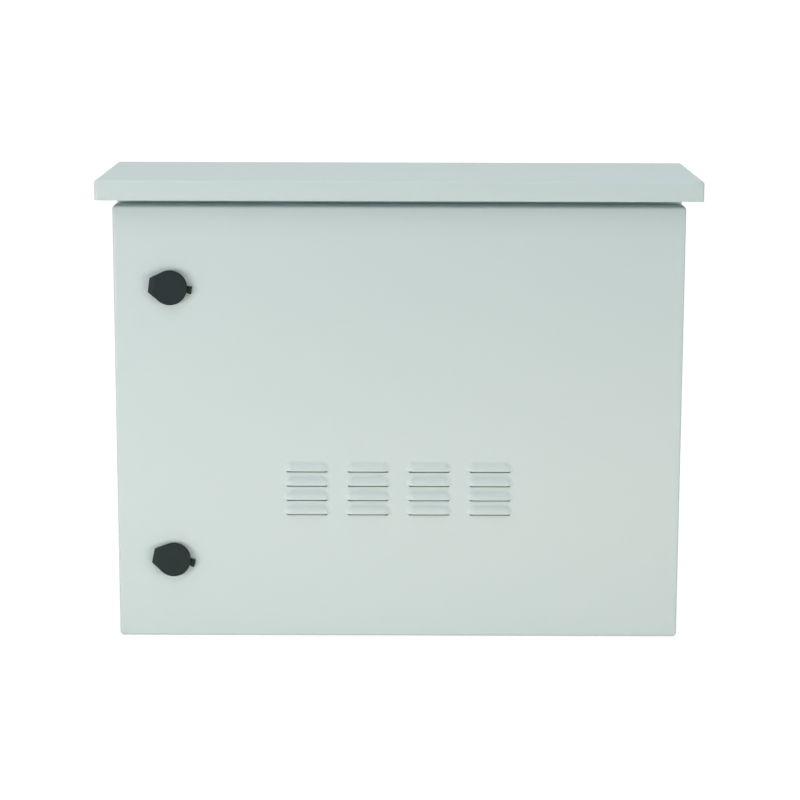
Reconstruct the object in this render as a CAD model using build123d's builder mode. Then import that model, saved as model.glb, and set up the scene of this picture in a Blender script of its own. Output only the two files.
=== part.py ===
from build123d import *
import math
import os

# Outdoor utility cabinet of folded and painted sheet steel, for a wall, a pole or a plinth.
# The frame has X to the right, the door on the -Y side and Z up. The origin is the middle of
# the base, half way between the front of the door and the wall. All sizes are in millimetres.

os.makedirs("parts", exist_ok=True)

# Overall sizes
overall_depth = 200.0
body_height = 490.0
door_width = 600.0
door_bottom = 5.0
door_top_gap = 19.0

# Door tray
door_sheet = 1.5
door_depth = 20.0
door_corner_radius = 4.0
door_fold_radius = 3.0
door_side_reveal = 2.5
door_to_body_gap = 2.5

# Body box with its front flange and the raised rain rim round the opening
body_sheet = 1.5
body_fold_radius = 3.0
rim_inset = 29.0
rim_reach = 11.0
rim_corner_radius = 6.0

# Rain canopy
roof_sheet = 1.5
roof_rise = 10.0
roof_fall = 4.0
roof_lip_height = 21.5
roof_fold_radius = 3.5
roof_side_overhang = 16.0
roof_front_overhang = 20.0
roof_rear_flange_clearance = 0.5
roof_stud_radius = 3.0
roof_stud_spacing_x = 460.0
roof_stud_spacing_y = 110.0
roof_stud_reach = 14.0
roof_washer_radius = 8.0

# Pressed louvres in the door
louvre_columns = 4
louvre_rows = 4
louvre_pitch_x = 65.0
louvre_pitch_z = 15.6
louvre_lowest_lip = 140.8
louvre_length = 47.0
louvre_end_length = 8.0
louvre_height = 9.5
louvre_proud = 3.5
louvre_sheet = 1.2
louvre_blend_radius = 5.0
louvre_slot_drop = 1.8
louvre_slot_inset = 2.0

# Air filter behind the louvres
filter_margin_x = 14.0
filter_margin_z = 10.0
filter_thickness = 10.0
filter_frame_sheet = 1.0
filter_frame_flange = 16.0
filter_frame_bar = 5.0
filter_window_columns = 8
filter_window_rows = 2
filter_stud_radius = 2.0
filter_stud_reach = 9.0

# Foam seal of the door
seal_width = 12.0
seal_crown_radius = 3.5
seal_clearance = 0.3

# Concealed hinges on the right
hinge_edge_distance = 80.0
hinge_pivot_inset = 6.0
hinge_pivot_ahead = 12.0
hinge_knuckle_radius = 4.0
hinge_arm_height = 24.0
hinge_arm_thickness = 3.0
hinge_foot_thickness = 2.5
hinge_foot_width = 15.0
hinge_knuckle_length = 10.0
hinge_leaf_thickness = 3.0
hinge_leaf_width = 17.0
hinge_leaf_relief = 6.0
hinge_knuckle_gap = 0.3
hinge_notch_clearance = 1.5
hinge_notch_depth = 14.5
hinge_pin_radius = 2.0
hinge_pin_head_radius = 3.4
hinge_pin_head_height = 1.6
hinge_pin_edge_radius = 0.8
hinge_screw_radius = 2.0
hinge_screw_spread = 14.0
hinge_screw_distance = 6.0
hinge_screw_head_radius = 3.6
hinge_screw_head_height = 2.4
hinge_screw_reach = 5.0
hinge_stud_reach = 5.5

# Quarter turn locks on the left
lock_edge_distance = 59.5
lock_end_distance = 86.0
lock_tilts = {"upper": 7.5, "lower": 11.5}
lock_barrel_radius = 10.9
lock_barrel_flats = 20.0
lock_barrel_length = 21.0
lock_head_radius = 13.5
lock_head_height = 1.8
lock_nut_across_flats = 27.0
lock_nut_height = 6.0
lock_nut_chamfer = 0.9
core_radius = 7.0
core_flange_radius = 8.5
core_flange_height = 1.4
core_socket_radius = 5.5
core_socket_depth = 7.0
core_key_radius = 3.6
core_square = 8.0
cam_length = 45.0
cam_width = 18.0
cam_thickness = 2.5
cam_corner_radius = 4.5
cam_flange_gap = 0.7
cam_screw_radius = 3.0
cam_screw_head_radius = 5.5
cam_screw_head_height = 3.5
cam_screw_depth = 10.0

# Dust caps of the locks
ring_radius = 16.5
ring_height = 3.0
ring_edge_radius = 0.6
cap_radius = 18.25
cap_thickness = 4.5
cap_edge_radius = 1.2
cap_seat_gap = 0.3
cap_recess_radius = 14.0
cap_recess_depth = 1.6
cap_tab_reach = 22.2
cap_tab_half_width = 7.45
cap_tab_ramp = 6.0
cap_tab_drop = 1.6
lug_axis_offset = 20.9
lug_axis_height = 3.4
lug_ear_radius = 2.1
lug_ear_width = 2.0
lug_pad_height = 1.2
lug_tongue_width = 3.0
lug_tongue_radius = 1.8
lug_gap = 0.25
lug_pin_radius = 0.8

# Mounting plate inside
plate_sheet = 2.5
plate_margin = 14.0
plate_return = 12.0
plate_fold_radius = 3.5
plate_standoff = 15.0
plate_stud_radius = 4.0
plate_stud_inset = 18.0
plate_stud_reach = 9.0
plate_sleeve_radius = 7.0

# Cable entry in the base
entry_length = 260.0
entry_width = 60.0
entry_overlap = 22.0
entry_wall_distance = 58.0
entry_corner_radius = 5.0
gland_plate_sheet = 2.0
gland_gasket_height = 2.0
gland_stud_radius = 2.5
gland_stud_reach = 7.0
grommet_hole_radius = 16.0
grommet_pitch = 80.0
grommet_flange = 3.5
grommet_flange_height = 1.6
grommet_tip_radius = 6.4
grommet_cone_height = 8.8

# Fixing holes in the back and earth studs
wall_hole_radius = 4.5
wall_hole_inset_x = 22.5
wall_hole_inset_z = 38.0
earth_stud_radius = 3.0
earth_stud_length = 16.0
earth_body_side_distance = 65.0
earth_body_front_distance = 42.5
earth_door_side_distance = 75.0
earth_door_height = 58.0

# Small clearances shared by all pieces
thread_clearance = 0.05
running_clearance = 0.05
hole_clearance = 0.3
soft_clearance = 0.3
nut_height_share = 0.8
nut_flats_share = 1.75
washer_share = 2.2
washer_height = 1.0
stud_chamfer_share = 0.2
head_fillet_share = 0.4
socket_width_share = 0.5
socket_depth_share = 0.6
flat_tolerance = 0.01

# Levels that follow from the sizes above
y_wall = overall_depth / 2
y_door_front = -overall_depth / 2
y_door_skin = y_door_front + door_sheet
y_door_rear = y_door_front + door_depth
y_body_front = y_door_rear + door_to_body_gap
y_rim_edge = y_body_front - rim_reach
y_back_inside = y_wall - body_sheet
body_width = door_width - 2 * door_side_reveal
body_depth = y_wall - y_body_front
body_centre_y = (y_wall + y_body_front) / 2
door_top = body_height - door_top_gap
door_height = door_top - door_bottom
door_centre_z = door_bottom + door_height / 2
opening_width = door_width - 2 * (rim_inset + body_sheet)
opening_height = door_height - 2 * (rim_inset + body_sheet)
roof_width = door_width + 2 * roof_side_overhang
roof_front_top = body_height + roof_rise
y_roof_front = y_door_front - roof_front_overhang
roof_depth = y_wall - y_roof_front
z_roof_lip = roof_front_top - roof_lip_height
z_roof_rear = roof_front_top - roof_fall
roof_normal = Vector(0, roof_fall, roof_depth).normalized()
roof_top_plane = Plane((0, y_roof_front, roof_front_top), x_dir=(1, 0, 0), z_dir=roof_normal)
roof_under_plane = roof_top_plane.offset(-roof_sheet)
louvre_centre_z = louvre_lowest_lip + louvre_pitch_z * (louvre_rows - 1) / 2
x_pivot = door_width / 2 - hinge_pivot_inset
y_pivot = y_door_rear - hinge_pivot_ahead
hinge_heights = {"upper": door_top - hinge_edge_distance, "lower": door_bottom + hinge_edge_distance}
x_lock = -door_width / 2 + lock_edge_distance
lock_heights = {"upper": door_top - lock_end_distance, "lower": door_bottom + lock_end_distance}
y_cam = y_body_front + body_sheet + cam_flange_gap
entry_centre_y = y_wall - entry_wall_distance
x_arm_left = x_pivot - hinge_knuckle_radius
x_hinge_screws = x_arm_left - hinge_screw_distance


def save(piece, name):
    """Label a finished piece and write it as one STEP file."""
    piece.part.label = name
    export_step(piece.part, f"parts/{name}.step")


def save_group(name, solid, spots):
    """Write equal pieces, one at each spot, as one node."""
    with BuildPart() as group:
        with Locations(*spots):
            add(solid)
    save(group, name)


def facing(points, direction):
    """Places at the points whose own up direction is the given one."""
    return [Plane(point, x_dir=(1, 0, 0), z_dir=direction) for point in points]


def stud_solid(radius, length):
    """A threaded stud with a chamfered free end, rising from its root."""
    with BuildPart() as stud:
        with BuildSketch():
            Circle(radius)
        extrude(amount=length)
        chamfer(stud.faces().sort_by(Axis.Z)[-1].edges(), radius * stud_chamfer_share)
    return stud.part


def nut_solid(stud_radius):
    """A hexagon nut on its washer, both loose enough for the stud."""
    with BuildPart() as nut:
        with BuildSketch():
            Circle(stud_radius * washer_share)
        extrude(amount=washer_height)
        with BuildSketch(Plane.XY.offset(washer_height)):
            RegularPolygon(stud_radius * nut_flats_share, 6, major_radius=False)
        extrude(amount=2 * stud_radius * nut_height_share)
        Hole(stud_radius + thread_clearance)
    return nut.part


def screw_solid(radius, length, head_radius, head_height):
    """A round headed screw, with its head above zero and its shank below."""
    with BuildPart() as screw:
        with BuildSketch():
            Circle(head_radius)
        extrude(amount=head_height)
        fillet(screw.faces().sort_by(Axis.Z)[-1].edges(), head_height * head_fillet_share)
        with BuildSketch(Plane.XY.offset(head_height)):
            RegularPolygon(head_radius * socket_width_share, 6)
        extrude(amount=-head_height * socket_depth_share, mode=Mode.SUBTRACT)
        with BuildSketch():
            Circle(radius)
        extrude(amount=-length)
    return screw.part


# Body shell
wall_hole_spacing_x = body_width - 2 * wall_hole_inset_x
wall_hole_spacing_z = body_height - 2 * wall_hole_inset_z
roof_stud_centre_y = body_centre_y
entry_plate_length = entry_length + 2 * entry_overlap
entry_plate_width = entry_width + 2 * entry_overlap
entry_stud_spacing_x = entry_length + entry_overlap
entry_stud_spacing_y = entry_width + entry_overlap

with BuildPart() as body_shell:
    with BuildSketch():
        with Locations((0, body_centre_y)):
            RectangleRounded(body_width, body_depth, body_fold_radius)
    extrude(amount=body_height)
    with BuildSketch(Plane.XY.offset(body_sheet)):
        with Locations((0, body_centre_y)):
            RectangleRounded(
                body_width - 2 * body_sheet, body_depth - 2 * body_sheet, body_fold_radius - body_sheet
            )
    extrude(amount=body_height - 2 * body_sheet, mode=Mode.SUBTRACT)
    with BuildSketch(Plane.XZ.offset(-y_body_front)):
        with Locations((0, door_centre_z)):
            RectangleRounded(opening_width, opening_height, rim_corner_radius)
    extrude(amount=-2 * body_sheet, mode=Mode.SUBTRACT)
    with BuildSketch(Plane.XZ.offset(-y_body_front - body_sheet)):
        with Locations((0, door_centre_z)):
            RectangleRounded(
                opening_width + 2 * body_sheet,
                opening_height + 2 * body_sheet,
                rim_corner_radius + body_sheet,
            )
            RectangleRounded(opening_width, opening_height, rim_corner_radius, mode=Mode.SUBTRACT)
    extrude(amount=rim_reach + body_sheet)
    with BuildSketch(Plane.XZ.offset(-y_wall)):
        with Locations((0, body_height / 2)):
            with GridLocations(wall_hole_spacing_x, wall_hole_spacing_z, 2, 2):
                Circle(wall_hole_radius)
    extrude(amount=2 * body_sheet, mode=Mode.SUBTRACT)
    with BuildSketch(Plane.XY.offset(body_height)):
        with Locations((0, roof_stud_centre_y)):
            with GridLocations(roof_stud_spacing_x, roof_stud_spacing_y, 2, 2):
                Circle(roof_stud_radius + hole_clearance)
    extrude(amount=-2 * body_sheet, mode=Mode.SUBTRACT)
    with BuildSketch():
        with Locations((0, entry_centre_y)):
            RectangleRounded(entry_length, entry_width, entry_corner_radius)
    extrude(amount=2 * body_sheet, mode=Mode.SUBTRACT)
    with BuildSketch(Plane.XZ.offset(-y_body_front)):
        for height in hinge_heights.values():
            with Locations((x_hinge_screws, height)):
                with GridLocations(0, hinge_screw_spread, 1, 2):
                    Circle(hinge_screw_radius + hole_clearance)
    extrude(amount=-2 * body_sheet, mode=Mode.SUBTRACT)
save(body_shell, "body_shell")

# Rain canopy: a tray of folded sheet, open below, that falls to the back
with BuildPart() as roof_canopy:
    with BuildSketch(Plane.YZ.offset(-roof_width / 2)):
        with BuildLine():
            Polyline(
                (y_roof_front, z_roof_lip),
                (y_roof_front, roof_front_top),
                (y_wall, z_roof_rear),
                (y_wall, z_roof_lip),
                close=True,
            )
        make_face()
    extrude(amount=roof_width)
    top_folds = roof_canopy.faces().sort_by(Axis.Z)[-1].edges().sort_by(Axis.Y)[:-1]
    corner_folds = roof_canopy.edges().filter_by(Axis.Z).sort_by(Axis.Y)[:2]
    fillet(top_folds + corner_folds, roof_fold_radius)
    offset(amount=-roof_sheet, openings=roof_canopy.faces().sort_by(Axis.Z)[0])
    with BuildSketch(Plane.XZ.offset(-y_wall)):
        with Locations((0, z_roof_lip)):
            Rectangle(
                roof_width - 2 * roof_sheet,
                body_height + roof_rear_flange_clearance - z_roof_lip,
                align=(Align.CENTER, Align.MIN),
            )
    extrude(amount=2 * roof_sheet, mode=Mode.SUBTRACT)
save(roof_canopy, "roof_canopy")

# Studs of the canopy, the rubber washers under it and the nuts inside the body
with BuildPart() as roof_studs:
    with BuildSketch(Plane.XY.offset(body_height - body_sheet - roof_stud_reach)):
        with Locations((0, roof_stud_centre_y)):
            with GridLocations(roof_stud_spacing_x, roof_stud_spacing_y, 2, 2):
                Circle(roof_stud_radius)
    extrude(until=Until.LAST, target=roof_canopy.part)
    split(bisect_by=roof_under_plane, keep=Keep.BOTTOM)
save(roof_studs, "roof_studs")

with BuildPart() as roof_washers:
    with BuildSketch(Plane.XY.offset(body_height)):
        with Locations((0, roof_stud_centre_y)):
            with GridLocations(roof_stud_spacing_x, roof_stud_spacing_y, 2, 2):
                Circle(roof_washer_radius)
                Circle(roof_stud_radius + thread_clearance, mode=Mode.SUBTRACT)
    extrude(amount=roof_front_top - body_height)
    split(bisect_by=roof_under_plane, keep=Keep.BOTTOM)
save(roof_washers, "roof_washers")

roof_stud_spots = [
    (x, roof_stud_centre_y + y, body_height - body_sheet)
    for x in (-roof_stud_spacing_x / 2, roof_stud_spacing_x / 2)
    for y in (-roof_stud_spacing_y / 2, roof_stud_spacing_y / 2)
]
save_group("roof_nuts", nut_solid(roof_stud_radius), facing(roof_stud_spots, (0, 0, -1)))


def louvre_solid(proud, end_radius, overrun, depth):
    """A barrel shaped hood, turned about a line behind the skin, from its lip up to the skin.

    The lip lies on the local X axis, the outer skin is the local XZ plane.
    """
    half_flat = louvre_length / 2 - louvre_end_length
    end_height = end_radius - proud
    reach = math.sqrt(end_radius**2 - (end_height - overrun) ** 2)
    axis_back = (louvre_height**2 - louvre_proud**2) / (2 * louvre_proud)
    with BuildPart() as hood:
        with BuildSketch():
            with BuildLine():
                Line((-half_flat, -proud), (half_flat, -proud))
                TangentArc((half_flat, -proud), (half_flat + reach, overrun), tangent=(1, 0))
                TangentArc((-half_flat, -proud), (-half_flat - reach, overrun), tangent=(-1, 0))
                Polyline(
                    (half_flat + reach, overrun),
                    (half_flat + reach, axis_back),
                    (-half_flat - reach, axis_back),
                    (-half_flat - reach, overrun),
                )
            make_face()
        revolve(axis=Axis((0, axis_back, 0), (-1, 0, 0)), revolution_arc=90)
        split(bisect_by=Plane.XZ.offset(-depth), keep=Keep.TOP)
    return hood.part


# Louvre hood and the hollow under it
louvre_end_radius = (louvre_end_length**2 + louvre_proud**2) / (2 * louvre_proud)
louvre_hood = louvre_solid(louvre_proud, louvre_end_radius, 0, door_sheet)
louvre_hollow = louvre_solid(
    louvre_proud - louvre_sheet, louvre_end_radius - louvre_sheet, 2 * door_sheet, 2 * door_sheet
)
louvre_columns_x = [
    (column - (louvre_columns - 1) / 2) * louvre_pitch_x for column in range(louvre_columns)
]
louvre_lips_z = [louvre_lowest_lip + row * louvre_pitch_z for row in range(louvre_rows)]
louvre_spots = [(x, y_door_front, z) for x in louvre_columns_x for z in louvre_lips_z]

# Door panel: a folded tray with pressed louvres, lock holes and notches for the hinge arms
with BuildPart() as door_panel:
    with BuildSketch(Plane.XZ.offset(-y_door_rear)):
        with Locations((0, door_centre_z)):
            RectangleRounded(door_width, door_height, door_corner_radius)
    extrude(amount=door_depth)
    fillet(door_panel.faces().sort_by(Axis.Y)[0].edges(), door_fold_radius)
    offset(amount=-door_sheet, openings=door_panel.faces().sort_by(Axis.Y)[-1])
    with Locations(*louvre_spots):
        add(louvre_hood)
    hood_edges = [
        edge
        for edge in door_panel.edges(Select.LAST).filter_by_position(
            Axis.Y, y_door_front - flat_tolerance, y_door_front + flat_tolerance
        )
        if min(abs(edge.center().Z - lip) for lip in louvre_lips_z) > flat_tolerance
    ]
    fillet(hood_edges, louvre_blend_radius)
    with Locations(*louvre_spots):
        add(louvre_hollow, mode=Mode.SUBTRACT)
    with BuildSketch(Plane.XZ.offset(-y_door_front)):
        with Locations(*[(x, z) for x, y, z in louvre_spots]):
            Rectangle(
                louvre_length - 2 * louvre_slot_inset, louvre_slot_drop, align=(Align.CENTER, Align.MAX)
            )
    extrude(amount=-2 * door_sheet, mode=Mode.SUBTRACT)
    for side, height in lock_heights.items():
        with BuildSketch(Plane((x_lock, y_door_front, height), x_dir=(1, 0, 0), z_dir=(0, 1, 0))):
            Circle(lock_barrel_radius + hole_clearance)
            Rectangle(
                3 * lock_barrel_radius, lock_barrel_flats + 2 * hole_clearance,
                rotation=lock_tilts[side], mode=Mode.INTERSECT,
            )
        extrude(amount=2 * door_sheet, mode=Mode.SUBTRACT)
    with BuildSketch(Plane.YZ.offset(door_width / 2)):
        for height in hinge_heights.values():
            with Locations((y_door_rear, height)):
                Rectangle(
                    2 * hinge_notch_depth, hinge_arm_height + 2 * hinge_notch_clearance,
                )
    extrude(amount=-2 * door_sheet, mode=Mode.SUBTRACT)
save(door_panel, "door_panel")

# Foam seal: a ring on the inner face of the door, crowned where the rim presses on it
seal_outer_width = opening_width + body_sheet + seal_width
seal_outer_height = opening_height + body_sheet + seal_width
seal_outer_radius = rim_corner_radius + (body_sheet + seal_width) / 2
seal_height = y_rim_edge - y_door_skin - seal_clearance
with BuildPart() as door_seal:
    with BuildSketch(Plane.XZ.offset(-y_door_skin)):
        with Locations((0, door_centre_z)):
            RectangleRounded(seal_outer_width, seal_outer_height, seal_outer_radius)
            RectangleRounded(
                seal_outer_width - 2 * seal_width,
                seal_outer_height - 2 * seal_width,
                seal_outer_radius - seal_width,
                mode=Mode.SUBTRACT,
            )
    extrude(amount=-seal_height)
    fillet(door_seal.faces().sort_by(Axis.Y)[-1].edges(), seal_crown_radius)
save(door_seal, "door_seal")

# Filter mat and its perforated frame over the louvres
filter_width = (louvre_columns - 1) * louvre_pitch_x + louvre_length + 2 * filter_margin_x
filter_height = (louvre_rows - 1) * louvre_pitch_z + louvre_height + 2 * filter_margin_z
filter_centre_z = louvre_centre_z + louvre_height / 2
frame_pocket_width = filter_width + 2 * soft_clearance
frame_pocket_height = filter_height + 2 * soft_clearance
frame_pocket_depth = filter_thickness + 2 * soft_clearance
frame_width = frame_pocket_width + 2 * filter_frame_flange
frame_cover_plane = Plane.XZ.offset(-y_door_skin - frame_pocket_depth)

with BuildPart() as filter_mat:
    with BuildSketch(Plane.XZ.offset(-y_door_skin - soft_clearance)):
        with Locations((0, filter_centre_z)):
            Rectangle(filter_width, filter_height)
    extrude(amount=-filter_thickness)
save(filter_mat, "filter_mat")

window_pitch_x = (frame_pocket_width - filter_frame_bar) / filter_window_columns
window_pitch_z = (frame_pocket_height - filter_frame_bar) / filter_window_rows
filter_stud_x = (frame_pocket_width + filter_frame_flange) / 2
filter_stud_z = frame_pocket_height / 3
filter_stud_spots = [
    (x * filter_stud_x, y_door_skin, filter_centre_z + z * filter_stud_z)
    for x in (-1, 1)
    for z in (-1, 1)
]
with BuildPart() as filter_frame:
    with BuildSketch(Plane.XZ.offset(-y_door_skin)):
        with Locations((0, filter_centre_z)):
            Rectangle(frame_width, frame_pocket_height + 2 * filter_frame_sheet)
    extrude(amount=-filter_frame_sheet)
    with BuildSketch(Plane.XZ.offset(-y_door_skin)):
        with Locations((0, filter_centre_z)):
            Rectangle(
                frame_pocket_width + 2 * filter_frame_sheet, frame_pocket_height + 2 * filter_frame_sheet
            )
    extrude(amount=-frame_pocket_depth - filter_frame_sheet)
    with BuildSketch(Plane.XZ.offset(-y_door_skin)):
        with Locations((0, filter_centre_z)):
            Rectangle(frame_pocket_width, frame_pocket_height)
    extrude(amount=-frame_pocket_depth, mode=Mode.SUBTRACT)
    with BuildSketch(frame_cover_plane):
        with Locations((0, filter_centre_z)):
            with GridLocations(window_pitch_x, window_pitch_z, filter_window_columns, filter_window_rows):
                Rectangle(window_pitch_x - filter_frame_bar, window_pitch_z - filter_frame_bar)
    extrude(amount=-2 * filter_frame_sheet, mode=Mode.SUBTRACT)
    with BuildSketch(Plane.XZ.offset(-y_door_skin)):
        with Locations(*[(x, z) for x, y, z in filter_stud_spots]):
            Circle(filter_stud_radius + hole_clearance)
    extrude(amount=-2 * filter_frame_sheet, mode=Mode.SUBTRACT)
save(filter_frame, "filter_frame")

filter_nut_spots = [(x, y + filter_frame_sheet, z) for x, y, z in filter_stud_spots]
filter_stud = stud_solid(filter_stud_radius, filter_stud_reach)
save_group("filter_studs", filter_stud, facing(filter_stud_spots, (0, 1, 0)))
save_group("filter_nuts", nut_solid(filter_stud_radius), facing(filter_nut_spots, (0, 1, 0)))

# Concealed hinges: an arm on the body, a leaf on the door and a loose pin
knuckle_top = hinge_arm_height / 2 + hinge_knuckle_gap + hinge_knuckle_length
x_leaf_studs = x_pivot - hinge_leaf_width + hinge_leaf_relief
y_hinge_leaf = y_door_skin + hinge_leaf_thickness

for side, height in hinge_heights.items():
    with BuildPart() as hinge_arm:
        with BuildSketch(Plane.XY.offset(height - hinge_arm_height / 2)):
            with Locations((x_pivot, y_pivot)):
                Circle(hinge_knuckle_radius)
            with Locations((x_arm_left, y_pivot)):
                Rectangle(hinge_arm_thickness, y_body_front - y_pivot, align=(Align.MIN, Align.MIN))
            with Locations((x_arm_left + hinge_arm_thickness, y_body_front)):
                Rectangle(hinge_foot_width, hinge_foot_thickness, align=(Align.MAX, Align.MAX))
            with Locations((x_pivot, y_pivot)):
                Circle(hinge_pin_radius + running_clearance, mode=Mode.SUBTRACT)
        extrude(amount=hinge_arm_height)
        with BuildSketch(Plane.XZ.offset(-y_body_front)):
            with Locations((x_hinge_screws, height)):
                with GridLocations(0, hinge_screw_spread, 1, 2):
                    Circle(hinge_screw_radius + hole_clearance)
        extrude(amount=hinge_foot_thickness, mode=Mode.SUBTRACT)
    save(hinge_arm, f"{side}_hinge_arm")

    with BuildPart() as hinge_leaf:
        with BuildSketch(Plane.XY.offset(height - knuckle_top)):
            with Locations((x_pivot - hinge_leaf_width, y_door_skin)):
                Rectangle(hinge_leaf_width, hinge_leaf_thickness, align=(Align.MIN, Align.MIN))
            with Locations((x_pivot, y_pivot)):
                Circle(hinge_knuckle_radius)
                Circle(hinge_pin_radius + running_clearance, mode=Mode.SUBTRACT)
        extrude(amount=2 * knuckle_top)
        with BuildSketch(Plane.XY.offset(height - hinge_arm_height / 2 - hinge_knuckle_gap)):
            with Locations((x_pivot - hinge_leaf_relief, y_door_skin)):
                Rectangle(2 * hinge_leaf_relief, hinge_pivot_ahead, align=(Align.MIN, Align.MIN))
        extrude(amount=hinge_arm_height + 2 * hinge_knuckle_gap, mode=Mode.SUBTRACT)
        with BuildSketch(Plane.XZ.offset(-y_door_skin)):
            with Locations((x_leaf_studs, height)):
                with GridLocations(0, hinge_arm_height, 1, 2):
                    Circle(hinge_screw_radius + hole_clearance)
        extrude(amount=-hinge_leaf_thickness, mode=Mode.SUBTRACT)
    save(hinge_leaf, f"{side}_hinge_leaf")

    with BuildPart() as hinge_pin:
        with BuildSketch(Plane.XY.offset(height - knuckle_top)):
            with Locations((x_pivot, y_pivot)):
                Circle(hinge_pin_radius)
        extrude(amount=2 * knuckle_top + hinge_knuckle_gap)
        with BuildSketch(Plane.XY.offset(height + knuckle_top + hinge_knuckle_gap)):
            with Locations((x_pivot, y_pivot)):
                Circle(hinge_pin_head_radius)
        extrude(amount=hinge_pin_head_height)
        fillet(hinge_pin.faces().sort_by(Axis.Z)[-1].edges(), hinge_pin_edge_radius)
    save(hinge_pin, f"{side}_hinge_pin")

arm_screw_spots = [
    (x_hinge_screws, y_body_front - hinge_foot_thickness, height + offset_z)
    for height in hinge_heights.values()
    for offset_z in (-hinge_screw_spread / 2, hinge_screw_spread / 2)
]
arm_nut_spots = [(x, y_body_front + body_sheet, z) for x, y, z in arm_screw_spots]
leaf_stud_spots = [
    (x_leaf_studs, y_door_skin, height + offset_z)
    for height in hinge_heights.values()
    for offset_z in (-hinge_arm_height / 2, hinge_arm_height / 2)
]
leaf_nut_spots = [(x, y_hinge_leaf, z) for x, y, z in leaf_stud_spots]
arm_screw = screw_solid(
    hinge_screw_radius,
    hinge_foot_thickness + body_sheet + hinge_screw_reach,
    hinge_screw_head_radius,
    hinge_screw_head_height,
)
leaf_stud = stud_solid(hinge_screw_radius, hinge_leaf_thickness + hinge_stud_reach)
save_group("hinge_arm_screws", arm_screw, facing(arm_screw_spots, (0, -1, 0)))
save_group("hinge_arm_nuts", nut_solid(hinge_screw_radius), facing(arm_nut_spots, (0, 1, 0)))
save_group("hinge_leaf_studs", leaf_stud, facing(leaf_stud_spots, (0, 1, 0)))
save_group("hinge_leaf_nuts", nut_solid(hinge_screw_radius), facing(leaf_nut_spots, (0, 1, 0)))

# Quarter turn locks. Forms that turn with the tilt of a lock are made about its own axis, on
# the outer skin of the door, with the cap's lug on the local +X side.
lug_half_width = lug_tongue_width / 2 + lug_gap + lug_ear_width
y_lug_axis = -lug_axis_height
y_cap_back = -ring_height - cap_seat_gap
y_cap_front = y_cap_back - cap_thickness
y_core_front = y_door_front - ring_height + running_clearance
y_core_shoulder = y_core_front + core_flange_height
core_seat_depth = core_flange_height + 2 * running_clearance

with BuildPart() as ring_form:
    with BuildSketch(Plane.XZ):
        Circle(ring_radius)
    extrude(amount=ring_height)
    fillet(ring_form.faces().sort_by(Axis.Y)[0].edges(), ring_edge_radius)
    with BuildSketch(Plane.XZ):
        Rectangle(lug_axis_offset + lug_ear_radius, 2 * lug_half_width, align=(Align.MIN, Align.CENTER))
    extrude(amount=lug_pad_height)
    for low in (-lug_half_width, lug_half_width - lug_ear_width):
        with BuildSketch(Plane.XY.offset(low)):
            with Locations((lug_axis_offset, y_lug_axis)):
                Circle(lug_ear_radius)
                Rectangle(2 * lug_ear_radius, lug_axis_height, align=(Align.CENTER, Align.MIN))
                Circle(lug_pin_radius + running_clearance, mode=Mode.SUBTRACT)
        extrude(amount=lug_ear_width)
    with BuildSketch(Plane.XZ):
        Circle(lock_barrel_radius + hole_clearance)
        Rectangle(3 * lock_barrel_radius, lock_barrel_flats + 2 * hole_clearance, mode=Mode.INTERSECT)
    extrude(amount=ring_height, mode=Mode.SUBTRACT)
    with BuildSketch(Plane.XZ.offset(ring_height)):
        Circle(lock_head_radius + hole_clearance)
    extrude(amount=-lock_head_height, mode=Mode.SUBTRACT)

with BuildPart() as housing_form:
    with BuildSketch(Plane.XZ.offset(ring_height)):
        Circle(lock_head_radius)
    extrude(amount=-lock_head_height)
    with BuildSketch(Plane.XZ.offset(ring_height - lock_head_height)):
        Circle(lock_barrel_radius)
        Rectangle(3 * lock_barrel_radius, lock_barrel_flats, mode=Mode.INTERSECT)
    extrude(amount=lock_head_height - ring_height - lock_barrel_length)
    with BuildSketch(Plane.XZ.offset(ring_height)):
        Circle(core_radius + running_clearance)
    extrude(amount=-ring_height - lock_barrel_length, mode=Mode.SUBTRACT)
    with BuildSketch(Plane.XZ.offset(ring_height)):
        Circle(core_flange_radius + running_clearance)
    extrude(amount=-core_seat_depth, mode=Mode.SUBTRACT)

with BuildPart() as lock_nut_form:
    with BuildSketch(Plane.XZ.offset(-door_sheet)):
        RegularPolygon(lock_nut_across_flats / 2, 6, major_radius=False)
        Circle(lock_barrel_radius + thread_clearance, mode=Mode.SUBTRACT)
    extrude(amount=-lock_nut_height)
    chamfer(lock_nut_form.faces().sort_by(Axis.Y)[-1].outer_wire().edges(), lock_nut_chamfer)

with BuildPart() as cap_pin_form:
    with BuildSketch(Plane.XY.offset(-lug_half_width)):
        with Locations((lug_axis_offset, y_lug_axis)):
            Circle(lug_pin_radius)
    extrude(amount=2 * lug_half_width)

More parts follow.
